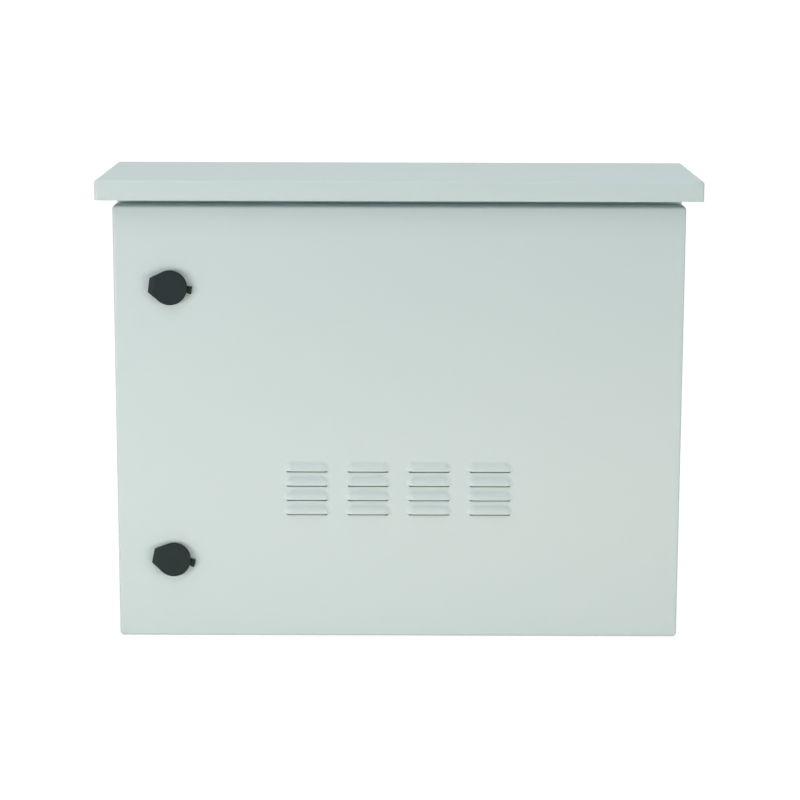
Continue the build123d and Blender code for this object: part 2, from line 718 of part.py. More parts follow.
with BuildPart() as cap_form:
    with BuildSketch(Plane.XZ.offset(-y_cap_back)):
        Circle(cap_radius)
        with Locations((-cap_tab_reach, 0)):
            Rectangle(cap_tab_drop, 2 * cap_tab_half_width, align=(Align.MIN, Align.CENTER))
        make_hull()
    extrude(amount=cap_thickness)
    fillet(cap_form.faces().sort_by(Axis.Y)[0].edges(), cap_edge_radius)
    with BuildSketch(Plane.XY.offset(-cap_radius)):
        with BuildLine():
            Polyline(
                (-cap_tab_reach, y_cap_front),
                (-cap_tab_reach, y_cap_front + cap_tab_drop),
                (-cap_tab_reach + cap_tab_ramp, y_cap_front),
                close=True,
            )
        make_face()
    extrude(amount=2 * cap_radius, mode=Mode.SUBTRACT)
    with BuildSketch(Plane.XZ.offset(-y_cap_back)):
        Circle(cap_recess_radius)
    extrude(amount=cap_recess_depth, mode=Mode.SUBTRACT)
    with BuildSketch(Plane.XY.offset(-lug_tongue_width / 2)):
        with Locations((lug_axis_offset, y_lug_axis)):
            Circle(lug_tongue_radius)
        with Locations((cap_recess_radius, y_cap_back - cap_seat_gap)):
            Rectangle(
                lug_axis_offset - cap_recess_radius,
                lug_tongue_radius + y_lug_axis - y_cap_back + cap_seat_gap,
                align=(Align.MIN, Align.MAX),
            )
        with Locations((lug_axis_offset, y_lug_axis)):
            Circle(lug_pin_radius + running_clearance, mode=Mode.SUBTRACT)
    extrude(amount=lug_tongue_width)

tilted_forms = {
    "cap_ring": ring_form,
    "lock_housing": housing_form,
    "lock_nut": lock_nut_form,
    "cap_pin": cap_pin_form,
    "dust_cap": cap_form,
}
y_cam_back = y_cam + cam_thickness
cam_square = core_square + 2 * running_clearance
cam_screw = screw_solid(
    cam_screw_radius, cam_screw_depth, cam_screw_head_radius, cam_screw_head_height
)

for side, height in lock_heights.items():
    for name, form in tilted_forms.items():
        with BuildPart() as placed:
            with Locations(Location((x_lock, y_door_front, height), (0, lock_tilts[side], 0))):
                add(form.part)
        save(placed, f"{side}_{name}")

    with BuildPart() as lock_core:
        with BuildSketch(Plane.XZ.offset(-y_core_front)):
            with Locations((x_lock, height)):
                Circle(core_flange_radius)
        extrude(amount=-core_flange_height)
        with BuildSketch(Plane.XZ.offset(-y_core_shoulder)):
            with Locations((x_lock, height)):
                Circle(core_radius)
        extrude(amount=y_core_shoulder - y_cam)
        with BuildSketch(Plane.XZ.offset(-y_cam)):
            with Locations((x_lock, height)):
                Rectangle(core_square, core_square)
        extrude(amount=running_clearance - cam_thickness)
        with BuildSketch(Plane.XZ.offset(-y_core_front)):
            with Locations((x_lock, height)):
                Circle(core_socket_radius)
                RegularPolygon(core_key_radius, 3, mode=Mode.SUBTRACT)
        extrude(amount=-core_socket_depth, mode=Mode.SUBTRACT)
        with BuildSketch(Plane.XZ.offset(-y_cam_back)):
            with Locations((x_lock, height)):
                Circle(cam_screw_radius + thread_clearance)
        extrude(amount=cam_screw_depth, mode=Mode.SUBTRACT)
    save(lock_core, f"{side}_lock_core")

    with BuildPart() as lock_cam:
        with BuildSketch(Plane.XZ.offset(-y_cam)):
            with Locations((x_lock, height)):
                Rectangle(cam_width, cam_length, align=(Align.CENTER, Align.MAX))
            fillet(vertices().group_by(Axis.Y)[0], cam_corner_radius)
            with Locations((x_lock, height)):
                Circle(cam_width / 2)
                Rectangle(cam_square, cam_square, mode=Mode.SUBTRACT)
        extrude(amount=-cam_thickness)
    save(lock_cam, f"{side}_lock_cam")

    save_group(f"{side}_cam_screw", cam_screw, facing([(x_lock, y_cam_back, height)], (0, 1, 0)))

# Mounting plate on four studs of the back wall, with spacer sleeves and nuts
plate_width = opening_width - 2 * plate_margin
plate_height = opening_height - 2 * plate_margin
y_plate_back = y_back_inside - plate_standoff
y_plate_front = y_plate_back - plate_sheet
plate_stud_spots = [
    (
        x * (plate_width / 2 - plate_stud_inset),
        y_back_inside,
        door_centre_z + z * (plate_height / 2 - plate_stud_inset),
    )
    for x in (-1, 1)
    for z in (-1, 1)
]
with BuildPart() as mounting_plate:
    with BuildSketch(Plane.YZ.offset(-plate_width / 2)):
        with Locations((y_plate_back, door_centre_z)):
            Rectangle(plate_return, plate_height, align=(Align.MAX, Align.CENTER))
        fillet(vertices().group_by(Axis.X)[-1], plate_fold_radius)
        with Locations((y_plate_front, door_centre_z)):
            Rectangle(
                plate_return,
                plate_height - 2 * plate_sheet,
                align=(Align.MAX, Align.CENTER),
                mode=Mode.SUBTRACT,
            )
    extrude(amount=plate_width)
    with BuildSketch(Plane.XZ.offset(-y_plate_back)):
        with Locations(*[(x, z) for x, y, z in plate_stud_spots]):
            Circle(plate_stud_radius + hole_clearance)
    extrude(amount=plate_sheet, mode=Mode.SUBTRACT)
save(mounting_plate, "mounting_plate")

with BuildPart() as plate_sleeve:
    with BuildSketch():
        Circle(plate_sleeve_radius)
        Circle(plate_stud_radius + thread_clearance, mode=Mode.SUBTRACT)
    extrude(amount=plate_standoff)

plate_stud = stud_solid(plate_stud_radius, plate_standoff + plate_sheet + plate_stud_reach)
plate_nut_spots = [(x, y_plate_front, z) for x, y, z in plate_stud_spots]
save_group("plate_studs", plate_stud, facing(plate_stud_spots, (0, -1, 0)))
save_group("plate_sleeves", plate_sleeve.part, facing(plate_stud_spots, (0, -1, 0)))
save_group("plate_nuts", nut_solid(plate_stud_radius), facing(plate_nut_spots, (0, -1, 0)))

# Cable entry: gland plate on a gasket over the cut-out in the base, with blanking grommets
z_gland_plate = body_sheet + gland_gasket_height
z_gland_top = z_gland_plate + gland_plate_sheet
gland_stud_spots = [
    (x * entry_stud_spacing_x / 2, entry_centre_y + y * entry_stud_spacing_y / 2, body_sheet)
    for x in (-1, 0, 1)
    for y in (-1, 1)
]
grommet_spots = [(x * grommet_pitch, entry_centre_y, z_gland_plate) for x in (-1, 0, 1)]
entry_stud_points = [(x, y) for x, y, z in gland_stud_spots]

with BuildPart() as gland_gasket:
    with BuildSketch(Plane.XY.offset(body_sheet)):
        with Locations((0, entry_centre_y)):
            RectangleRounded(entry_plate_length, entry_plate_width, entry_corner_radius)
            RectangleRounded(entry_length, entry_width, entry_corner_radius, mode=Mode.SUBTRACT)
        with Locations(*entry_stud_points):
            Circle(gland_stud_radius + hole_clearance, mode=Mode.SUBTRACT)
    extrude(amount=gland_gasket_height)
save(gland_gasket, "gland_gasket")

with BuildPart() as gland_plate:
    with BuildSketch(Plane.XY.offset(z_gland_plate)):
        with Locations((0, entry_centre_y)):
            RectangleRounded(entry_plate_length, entry_plate_width, entry_corner_radius)
        with Locations(*entry_stud_points):
            Circle(gland_stud_radius + hole_clearance, mode=Mode.SUBTRACT)
        with Locations(*[(x, y) for x, y, z in grommet_spots]):
            Circle(grommet_hole_radius, mode=Mode.SUBTRACT)
    extrude(amount=gland_plate_sheet)
save(gland_plate, "gland_plate")

neck_radius = grommet_hole_radius - thread_clearance
flange_radius = grommet_hole_radius + grommet_flange
cone_base_radius = neck_radius - grommet_flange_height
z_grommet_tip = gland_plate_sheet + grommet_cone_height
with BuildPart() as grommet:
    with BuildSketch(Plane.XZ):
        with BuildLine():
            Polyline(
                (cone_base_radius - grommet_flange_height, -grommet_flange_height),
                (flange_radius, -grommet_flange_height),
                (flange_radius, 0),
                (neck_radius, 0),
                (neck_radius, gland_plate_sheet),
                (flange_radius, gland_plate_sheet),
                (flange_radius, gland_plate_sheet + grommet_flange_height),
                (cone_base_radius, gland_plate_sheet + grommet_flange_height),
                (grommet_tip_radius, z_grommet_tip),
                (0, z_grommet_tip),
                (0, z_grommet_tip - grommet_flange_height),
                (grommet_tip_radius - grommet_flange_height / 2, z_grommet_tip - grommet_flange_height),
                (cone_base_radius - grommet_flange_height, gland_plate_sheet),
                close=True,
            )
        make_face()
    revolve(axis=Axis.Z)
save_group("cable_grommets", grommet.part, [Location(spot) for spot in grommet_spots])

gland_stud = stud_solid(gland_stud_radius, gland_gasket_height + gland_plate_sheet + gland_stud_reach)
gland_nut_spots = [(x, y, z_gland_top) for x, y, z in gland_stud_spots]
save_group("gland_studs", gland_stud, [Location(spot) for spot in gland_stud_spots])
save_group("gland_nuts", nut_solid(gland_stud_radius), [Location(spot) for spot in gland_nut_spots])

# Earth studs with their nuts, in the base of the body and on the door
earth_stud = stud_solid(earth_stud_radius, earth_stud_length)
earth_nut = nut_solid(earth_stud_radius)
x_earth_body = door_width / 2 - earth_body_side_distance
x_earth_door = door_width / 2 - earth_door_side_distance
earth_body_spot = [Location((x_earth_body, y_body_front + earth_body_front_distance, body_sheet))]
earth_door_spot = facing([(x_earth_door, y_door_skin, earth_door_height)], (0, 1, 0))
save_group("body_earth_stud", earth_stud, earth_body_spot)
save_group("body_earth_nut", earth_nut, earth_body_spot)
save_group("door_earth_stud", earth_stud, earth_door_spot)
save_group("door_earth_nut", earth_nut, earth_door_spot)
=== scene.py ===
"""Finish and detail of an outdoor utility cabinet, around its fixed CAD frame."""

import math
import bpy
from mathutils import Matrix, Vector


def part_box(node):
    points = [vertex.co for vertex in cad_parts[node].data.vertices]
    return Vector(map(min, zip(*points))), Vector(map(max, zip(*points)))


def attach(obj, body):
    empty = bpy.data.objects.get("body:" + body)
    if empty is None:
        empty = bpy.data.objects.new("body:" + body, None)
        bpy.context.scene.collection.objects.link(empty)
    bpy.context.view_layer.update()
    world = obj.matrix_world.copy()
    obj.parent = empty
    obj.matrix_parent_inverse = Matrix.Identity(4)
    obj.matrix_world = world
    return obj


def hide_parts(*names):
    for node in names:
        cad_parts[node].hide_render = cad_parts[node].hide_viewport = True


bl_info = {
    "name": "Outdoor Utility Cabinet",
    "version": (1, 0, 0),
    "blender": (4, 5, 0),
    "location": "View3D > Sidebar > Cabinet",
    "description": "Paints a sheet steel cabinet and adds its seal, filter mat, threads and studio",
    "category": "Object",
}

from functools import partial

import bmesh
import bpy
from bpy.props import FloatProperty, FloatVectorProperty, IntProperty, PointerProperty
from mathutils import Matrix, Vector

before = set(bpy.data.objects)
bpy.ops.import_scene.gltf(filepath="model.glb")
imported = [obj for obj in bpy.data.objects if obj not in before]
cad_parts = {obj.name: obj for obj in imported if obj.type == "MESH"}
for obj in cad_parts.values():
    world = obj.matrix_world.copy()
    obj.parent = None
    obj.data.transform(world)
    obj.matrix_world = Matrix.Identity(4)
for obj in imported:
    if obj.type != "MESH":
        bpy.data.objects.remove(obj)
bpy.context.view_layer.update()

MM = 0.001
FULL_TURN = 2 * math.pi

# Nodes by finish
PAINTED = ("body_shell", "roof_canopy", "door_panel")
GALVANISED = ("mounting_plate", "gland_plate", "filter_frame")
PLASTIC = ("upper_cap_ring", "lower_cap_ring", "upper_dust_cap", "lower_dust_cap")
LOCK_METAL = (
    "upper_lock_housing", "lower_lock_housing", "upper_lock_nut", "lower_lock_nut",
    "upper_lock_core", "lower_lock_core",
)
RUBBER = ("roof_washers", "cable_grommets")
FOAM = ("gland_gasket",)
ZINC_PLATED = (
    "roof_nuts", "plate_nuts", "plate_sleeves", "gland_nuts", "body_earth_nut", "door_earth_nut",
    "filter_nuts", "hinge_arm_nuts", "hinge_arm_screws", "hinge_leaf_nuts", "upper_hinge_arm",
    "lower_hinge_arm", "upper_hinge_leaf", "lower_hinge_leaf", "upper_hinge_pin", "lower_hinge_pin",
    "upper_lock_cam", "lower_lock_cam", "upper_cam_screw", "lower_cam_screw", "upper_cap_pin",
    "lower_cap_pin",
)

# Stud groups: node, body, direction from root to tip, thread pitch
STUD_GROUPS = (
    ("roof_studs", "cabinet", (0, 0, -1), 1.0 * MM),
    ("plate_studs", "cabinet", (0, -1, 0), 1.25 * MM),
    ("gland_studs", "cabinet", (0, 0, 1), 0.8 * MM),
    ("body_earth_stud", "cabinet", (0, 0, 1), 1.0 * MM),
    ("door_earth_stud", "door", (0, 1, 0), 1.0 * MM),
    ("filter_studs", "door", (0, 1, 0), 0.7 * MM),
    ("hinge_leaf_studs", "door", (0, 1, 0), 0.7 * MM),
)

# Threads: rows of faces added for the closed ends, and how fast the tip's chamfer widens
THREAD_END_ROWS = 3
TIP_SLOPE = 0.7

# Foam seal: width of the bead, and a value that the noise of its ripple stays below
SEAL_WIDTH = 12 * MM
HIGHEST_RIPPLE = 0.9

# Filter mat: about the area of its front and back, over which the loose fibres are counted
FIBRE_AREA = 2 * 0.27 * 0.076

# Soft lamps by name: place, width and height, colour; their powers are settings of the stage
LAMPS = {
    "left": ((-1.7, -1.5, 0.22), (1.3, 0.38), (1.0, 1.0, 1.0)),
    "right": ((2.4, -1.9, 0.23), (1.6, 0.42), (1.0, 1.0, 1.0)),
    "top": ((0.0, 0.1, 2.6), (2.4, 1.2), (0.94, 1.0, 0.97)),
    "high": ((-0.3, -1.15, 1.65), (1.8, 1.0), (1.0, 1.0, 1.0)),
    "front": ((0.0, -0.66, 0.035), (1.3, 0.05), (1.0, 0.82, 0.62)),
}
LAMP_TARGET = (0, 0, 0.2)


class PaintSettings(bpy.types.PropertyGroup):
    """Powder coat of the body, the canopy and the door."""

    colour: FloatVectorProperty(
        name="Colour", description="Base colour of the powder coat", subtype="COLOR", size=3,
        min=0, max=1, default=(0.572, 0.682, 0.700),
    )
    second_colour: FloatVectorProperty(
        name="Second colour", description="Colour that clouds the coat very faintly",
        subtype="COLOR", size=3, min=0, max=1, default=(0.588, 0.694, 0.710),
    )
    roughness: FloatProperty(
        name="Roughness", description="Mean roughness of the coat", default=0.42, min=0, max=1,
        subtype="FACTOR",
    )
    peel_size: FloatProperty(
        name="Peel size", description="Width of one bump of the orange peel", default=2.4 * MM,
        min=0.5 * MM, max=10 * MM, unit="LENGTH",
    )
    peel_depth: FloatProperty(
        name="Peel depth", description="Height of the orange peel", default=0.03 * MM, min=0,
        max=1 * MM, unit="LENGTH",
    )


class MetalSettings(bpy.types.PropertyGroup):
    """Bare and plated metals inside the cabinet."""

    zinc_colour: FloatVectorProperty(
        name="Plated zinc", description="Colour of the plated nuts and screws", subtype="COLOR",
        size=3, min=0, max=1, default=(0.50, 0.51, 0.53),
    )
    spangle_size: FloatProperty(
        name="Spangle size", description="Width of one crystal of the galvanised sheet",
        default=7 * MM, min=1 * MM, max=50 * MM, unit="LENGTH",
    )


class PlasticSettings(bpy.types.PropertyGroup):
    """Black moulded plastic of the dust caps and their rings."""

    colour: FloatVectorProperty(
        name="Colour", description="Base colour of the plastic", subtype="COLOR", size=3, min=0,
        max=1, default=(0.012, 0.021, 0.023),
    )
    grain_size: FloatProperty(
        name="Grain size", description="Width of the moulded grain", default=0.45 * MM,
        min=0.1 * MM, max=2 * MM, unit="LENGTH",
    )


class SealSettings(bpy.types.PropertyGroup):
    """Foam seal on the inside of the door."""

    colour: FloatVectorProperty(
        name="Colour", description="Darker colour of the foam", subtype="COLOR", size=3, min=0,
        max=1, default=(0.050, 0.052, 0.055),
    )
    second_colour: FloatVectorProperty(
        name="Second colour", description="Lighter colour of the foam", subtype="COLOR", size=3,
        min=0, max=1, default=(0.075, 0.078, 0.082),
    )
    corner_radius: FloatProperty(
        name="Corner radius", description="Radius of the seal's centre line in the corners",
        default=8.0 * MM, min=1 * MM, max=60 * MM, unit="LENGTH",
    )
    waviness: FloatProperty(
        name="Waviness", description="Unevenness of the poured foam", default=0.25 * MM, min=0,
        max=1 * MM, unit="LENGTH",
    )
    steps: IntProperty(
        name="Steps", description="Rings along the seal", default=720, min=60, max=2000,
    )


class FilterSettings(bpy.types.PropertyGroup):
    """Fleece mat behind the louvres; its dark grey colours are painted shade for the slots in front
    of it.
    """

    # Both fleece colours are kept dark grey to paint the shade seen in the louvre slots
    colour: FloatVectorProperty(
        name="Colour", description="Colour of the fleece between its fibres", subtype="COLOR",
        size=3, min=0, max=1, default=(0.10, 0.105, 0.10),
    )
    second_colour: FloatVectorProperty(
        name="Second colour", description="Colour of the matted fibres", subtype="COLOR", size=3,
        min=0, max=1, default=(0.24, 0.245, 0.235),
    )
    loft: FloatProperty(
        name="Loft", description="Unevenness of the fleece", default=0.7 * MM, min=0, max=2 * MM,
        unit="LENGTH",
    )
    fibres: IntProperty(
        name="Fibres", description="Loose fibres on the fleece", default=1500, min=0, max=5000,
    )
    seed: IntProperty(name="Seed", description="Fixed seed of the fibres", default=4)


class ThreadSettings(bpy.types.PropertyGroup):
    """Threads of the welded studs."""

    depth_share: FloatProperty(
        name="Depth", description="Thread depth as a share of its pitch", default=0.5, min=0.1,
        max=0.7, subtype="FACTOR",
    )
    segments: IntProperty(
        name="Segments", description="Faces round one stud", default=20, min=8, max=64,
    )
    rows_per_turn: IntProperty(
        name="Rows per turn", description="Rows of faces along one turn", default=4, min=3, max=12,
    )


class StageSettings(bpy.types.PropertyGroup):
    """Floor, lamps and camera."""

    camera_place: FloatVectorProperty(
        name="Camera place", description="Where the camera stands", subtype="TRANSLATION", size=3,
        unit="LENGTH", default=(0.0049, -2.7443, 0.7898),
    )
    camera_pitch: FloatProperty(
        name="Camera pitch", description="How far the camera looks down",
        default=math.radians(11.23), subtype="ANGLE",
    )
    camera_yaw: FloatProperty(
        name="Camera yaw", description="How far the camera turns to the left",
        default=math.radians(0.078), subtype="ANGLE",
    )
    camera_roll: FloatProperty(
        name="Camera roll", description="How far the camera leans", default=math.radians(0.149),
        subtype="ANGLE",
    )
    lens: FloatProperty(
        name="Lens", description="Focal length in millimetres on a 36 mm sensor", default=114.51,
        min=10, max=400,
    )
    world_strength: FloatProperty(
        name="World", description="Strength of the even light from all round", default=0.20,
        min=0, max=3,
    )
    left_power: FloatProperty(
        name="Left lamp", description="Power of the low soft lamp on the left", default=17.2,
        min=0, max=500, unit="POWER",
    )
    right_power: FloatProperty(
        name="Right lamp", description="Power of the low soft lamp on the right", default=22.6,
        min=0, max=500, unit="POWER",
    )
    top_power: FloatProperty(
        name="Top lamp", description="Power of the soft lamp overhead", default=23, min=0,
        max=500, unit="POWER",
    )
    high_power: FloatProperty(
        name="High lamp", description="Power of the soft lamp high in front", default=7.5, min=0,
        max=500, unit="POWER",
    )
    front_power: FloatProperty(
        name="Front lamp", description="Power of the soft strip near the floor in front",
        default=0.95, min=0, max=500, unit="POWER",
    )


def add_node(tree, kind, inputs=None, **properties):
    """A new node; each input, by name or number, is set to a value or linked to a socket."""
    node = tree.nodes.new(kind)
    for name, value in properties.items():
        setattr(node, name, value)
    for key, term in (inputs or {}).items():
        if isinstance(term, bpy.types.NodeSocket):
            tree.links.new(term, node.inputs[key])
        else:
            node.inputs[key].default_value = term
    return node


def maths(tree, operation, *terms):
    """One Math node; each term is a socket or a number."""
    inputs = dict(enumerate(terms))
    return add_node(tree, "ShaderNodeMath", inputs, operation=operation).outputs["Value"]


def vector_of(tree, x, y, z):
    """A vector from three sockets or numbers."""
    return add_node(tree, "ShaderNodeCombineXYZ", {"X": x, "Y": y, "Z": z}).outputs["Vector"]


def spread(tree, value, low, high):
    """A 0 to 1 value spread between two limits."""
    inputs = {"Value": value, "To Min": low, "To Max": high}
    return add_node(tree, "ShaderNodeMapRange", inputs).outputs["Result"]


def new_material(name, roughness, metallic=0.0):
    """A node material with one Principled shader, and object coordinates to paint by."""
    material = bpy.data.materials.new(name)
    material.use_nodes = True
    tree = material.node_tree
    shader = tree.nodes["Principled BSDF"]
    shader.inputs["Roughness"].default_value = roughness
    shader.inputs["Metallic"].default_value = metallic
    place = add_node(tree, "ShaderNodeTexCoord").outputs["Object"]
    return material, tree, shader, place


def noise(tree, place, size, detail=2, roughness=0.5):
    """Noise whose features are about the given size across."""
    inputs = {"Vector": place, "Scale": 1 / size, "Detail": detail, "Roughness": roughness}
    return add_node(tree, "ShaderNodeTexNoise", inputs).outputs["Fac"]


def tint(tree, shader, factor, first, second):
    """Mix the shader's base colour from two by a factor."""
    inputs = {"Factor": factor, "A": (*first, 1), "B": (*second, 1)}
    mix = add_node(tree, "ShaderNodeMix", inputs, data_type="RGBA")
    tree.links.new(mix.outputs["Result"], shader.inputs["Base Color"])


def roughen(tree, shader, value, low, high):
    """Spread the shader's roughness between two limits."""
    tree.links.new(spread(tree, value, low, high), shader.inputs["Roughness"])


def add_bump(tree, shader, height, depth):
    """Bump the shader by a height field of the given depth in metres."""
    bump = add_node(tree, "ShaderNodeBump", {"Height": height, "Distance": depth})
    tree.links.new(bump.outputs["Normal"], shader.inputs["Normal"])


def mix_shaders(tree, factor, first, second):
    """A mix of two shaders by a factor."""
    inputs = {"Fac": factor, 1: first, 2: second}
    return add_node(tree, "ShaderNodeMixShader", inputs).outputs["Shader"]


def powder_coat():
    """Satin powder coat with faint clouds, orange peel and fine speckle."""
    settings = bpy.context.scene.cabinet_paint
    material, tree, shader, place = new_material("powder_coat", settings.roughness)
    clouds = noise(tree, place, size=280 * MM, detail=3)
    tint(tree, shader, clouds, settings.colour, settings.second_colour)
    speckle = noise(tree, place, size=settings.peel_size / 3, detail=1)
    low, high = settings.roughness - 0.04, settings.roughness + 0.05
    roughen(tree, shader, speckle, low, high)
    peel = noise(tree, place, settings.peel_size, roughness=0.4)
    add_bump(tree, shader, peel, settings.peel_depth)
    return material


def galvanised_sheet():
    """Hot dipped sheet with a soft crystal pattern."""
    size = bpy.context.scene.cabinet_metal.spangle_size
    warp_share = 0.004
    material, tree, shader, place = new_material("galvanised_sheet", roughness=0.42, metallic=1.0)
    wobble = add_node(tree, "ShaderNodeTexNoise", {"Vector": place, "Scale": 2 / size})
    inputs = {"Factor": warp_share, "A": place, "B": wobble.outputs["Color"]}
    warp = add_node(tree, "ShaderNodeMix", inputs, data_type="VECTOR")
    inputs = {"Vector": warp.outputs["Result"], "Scale": 1 / size}
    crystal = add_node(tree, "ShaderNodeTexVoronoi", inputs)
    tone = add_node(tree, "ShaderNodeSeparateColor", {"Color": crystal.outputs["Color"]}).outputs
    tint(tree, shader, tone["Red"], first=(0.33, 0.345, 0.36), second=(0.43, 0.445, 0.46))
    roughen(tree, shader, tone["Green"], low=0.44, high=0.58)
    add_bump(tree, shader, noise(tree, place, size=1.5 * MM, detail=3), depth=0.02 * MM)
    return material


def plated_zinc():
    """Zinc plate with a fine grain and a faint blue to yellow cast."""
    settings = bpy.context.scene.cabinet_metal
    material, tree, shader, place = new_material("plated_zinc", roughness=0.3, metallic=1.0)
    cast = noise(tree, place, size=9 * MM)
    tint(tree, shader, cast, settings.zinc_colour, second=(0.55, 0.53, 0.47))
    roughen(tree, shader, noise(tree, place, size=0.8 * MM, detail=3), low=0.24, high=0.42)
    add_bump(tree, shader, noise(tree, place, size=0.5 * MM), depth=0.01 * MM)
    return material


def cast_zinc():
    """Die cast zinc of the lock housings, their nuts and their cores."""
    material, tree, shader, place = new_material("cast_zinc", roughness=0.38, metallic=1.0)
    clouds = noise(tree, place, size=5 * MM, detail=3)
    tint(tree, shader, clouds, first=(0.43, 0.44, 0.46), second=(0.50, 0.51, 0.53))
    roughen(tree, shader, noise(tree, place, size=0.6 * MM), low=0.32, high=0.5)
    add_bump(tree, shader, noise(tree, place, size=0.7 * MM, detail=3), depth=0.015 * MM)
    return material


def black_plastic():
    """Matt black plastic with a fine moulded grain."""
    settings = bpy.context.scene.cabinet_plastic
    lighter_by = 1.35
    material, tree, shader, place = new_material("black_plastic", roughness=0.58)
    shader.inputs["Specular IOR Level"].default_value = 0.2
    lighter = [channel * lighter_by for channel in settings.colour]
    tint(tree, shader, noise(tree, place, size=6 * MM, detail=3), settings.colour, lighter)
    grain = noise(tree, place, settings.grain_size, roughness=0.6)
    roughen(tree, shader, grain, low=0.5, high=0.68)
    add_bump(tree, shader, grain, depth=0.05 * MM)
    return material


def soft_rubber():
    """Dull black rubber with a trace of talc."""
    material, tree, shader, place = new_material("soft_rubber", roughness=0.75)
    talc = noise(tree, place, size=4 * MM, detail=4, roughness=0.65)
    tint(tree, shader, talc, first=(0.012, 0.012, 0.012), second=(0.035, 0.035, 0.034))
    add_bump(tree, shader, noise(tree, place, size=0.6 * MM), depth=0.04 * MM)
    return material


def poured_foam():
    """Grey closed cell foam with a skin of fine cells."""
    settings = bpy.context.scene.cabinet_seal
    cell_size = 0.9 * MM
    material, tree, shader, place = new_material("poured_foam", roughness=0.9)
    clouds = noise(tree, place, size=8 * MM, detail=3)
    tint(tree, shader, clouds, settings.colour, settings.second_colour)
    cells = add_node(tree, "ShaderNodeTexVoronoi", {"Vector": place, "Scale": 1 / cell_size})
    add_bump(tree, shader, cells.outputs["Distance"], depth=0.12 * MM)
    return material


def filter_fleece():
    """Synthetic fleece with matted fibres; its dark grey colour is painted shade for the louvre
    slots in front of it.
    """
    settings = bpy.context.scene.cabinet_filter
    material, tree, shader, place = new_material("filter_fleece", roughness=0.95)
    shader.inputs["Sheen Weight"].default_value = 0.2
    inputs = {"Vector": place, "Scale": (0.25, 1, 1), "Rotation": (0, 0.4, 0)}
    stretched = add_node(tree, "ShaderNodeMapping", inputs).outputs["Vector"]
    fibres = noise(tree, stretched, size=0.5 * MM, detail=4, roughness=0.7)
    # The dark fleece colours paint the shade in the louvre slots in front of the mat
    tint(tree, shader, fibres, settings.colour, settings.second_colour)
    add_bump(tree, shader, fibres, depth=0.4 * MM)
    return material


def stage_white():
    """White floor that stays white to the camera and in reflections, and keeps its soft shade."""
    glow_share = 0.8
    material, tree, shader, place = new_material("stage_white", roughness=0.9)
    clouds = noise(tree, place, size=1.5)
    tint(tree, shader, clouds, first=(0.72, 0.69, 0.62), second=(0.74, 0.71, 0.64))
    rays = add_node(tree, "ShaderNodeLightPath").outputs
    mirrored = maths(tree, "MAXIMUM", rays["Is Glossy Ray"], rays["Is Transmission Ray"])
    seen = maths(tree, "MAXIMUM", rays["Is Camera Ray"], mirrored)
    glow = add_node(tree, "ShaderNodeEmission", {"Strength": 1.2})
    lit = spread(tree, seen, 0, glow_share)
    white = mix_shaders(tree, lit, shader.outputs["BSDF"], glow.outputs["Emission"])
    # From its hidden side the camera looks through it, so the backdrop never hides the cabinet
    side = add_node(tree, "ShaderNodeNewGeometry").outputs["Backfacing"]
    hidden = maths(tree, "MULTIPLY", rays["Is Camera Ray"], side)
    clear = add_node(tree, "ShaderNodeBsdfTransparent").outputs["BSDF"]
    one_sided = mix_shaders(tree, hidden, white, clear)
    tree.links.new(one_sided, tree.nodes["Material Output"].inputs["Surface"])
    return material


def paint_nodes(names, material):
    """Give CAD nodes a material in place of the plain one they came with."""
    for name in names:
        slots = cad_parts[name].data.materials
        slots.clear()
        slots.append(material)


def connected_parts(mesh):
    """The points of each connected part of a bmesh."""
    parts = []
    visited = set()
    for first in mesh.verts:
        if first in visited:
            continue
        visited.add(first)
        to_follow = [first]
        points = []
        while to_follow:
            vertex = to_follow.pop()
            points.append(vertex.co.copy())
            for edge in vertex.link_edges:
                other = edge.other_vert(vertex)
                if other not in visited:
                    visited.add(other)
                    to_follow.append(other)
        parts.append(points)
    return parts


def measure_studs(name, direction):
    """The root points, the radius and the length of a CAD node's parallel studs."""
    along = Vector(direction)
    mesh = bmesh.new()
    mesh.from_mesh(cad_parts[name].data)
    bmesh.ops.remove_doubles(mesh, verts=mesh.verts, dist=0.001 * MM)
    roots = []
    radii = []
    lengths = []
    for points in connected_parts(mesh):
        low = Vector([min(values) for values in zip(*points)])
        high = Vector([max(values) for values in zip(*points)])
        half = (high - low) / 2
        half_length = abs(half.dot(along))
        roots.append((low + high) / 2 - along * half_length)
        radii.append(max(half[axis] for axis in range(3) if not along[axis]))
        lengths.append(2 * half_length)
    mesh.free()
    return roots, min(radii), min(lengths)


def new_tree(name, inputs):
    """An empty geometry node tree with a geometry output and named inputs of given kinds."""
    tree = bpy.data.node_groups.new(name, "GeometryNodeTree")
    tree.interface.new_socket("Geometry", in_out="INPUT", socket_type="NodeSocketGeometry")
    for label, kind in inputs.items():
        tree.interface.new_socket(label, in_out="INPUT", socket_type=f"NodeSocket{kind}")
    tree.interface.new_socket("Geometry", in_out="OUTPUT", socket_type="NodeSocketGeometry")
    given = tree.nodes.new("NodeGroupInput").outputs
    return tree, given, tree.nodes.new("NodeGroupOutput")


def close_tree(tree, geometry, given, outlet, smooth=True):
    """End a tree in realised instances, shaded smooth or flat, with the given material."""
    realised = add_node(tree, "GeometryNodeRealizeInstances", {"Geometry": geometry})
    inputs = {"Geometry": realised.outputs["Geometry"], "Shade Smooth": smooth}
    shaded = add_node(tree, "GeometryNodeSetShadeSmooth", inputs)
    inputs = {"Geometry": shaded.outputs["Geometry"], "Material": given["Material"]}
    finished = add_node(tree, "GeometryNodeSetMaterial", inputs)
    tree.links.new(finished.outputs["Geometry"], outlet.inputs["Geometry"])


def place_of_points(tree):
    """The X, Y and Z of each point that a tree moves."""
    position = add_node(tree, "GeometryNodeInputPosition").outputs["Position"]
    return add_node(tree, "ShaderNodeSeparateXYZ", {"Vector": position}).outputs


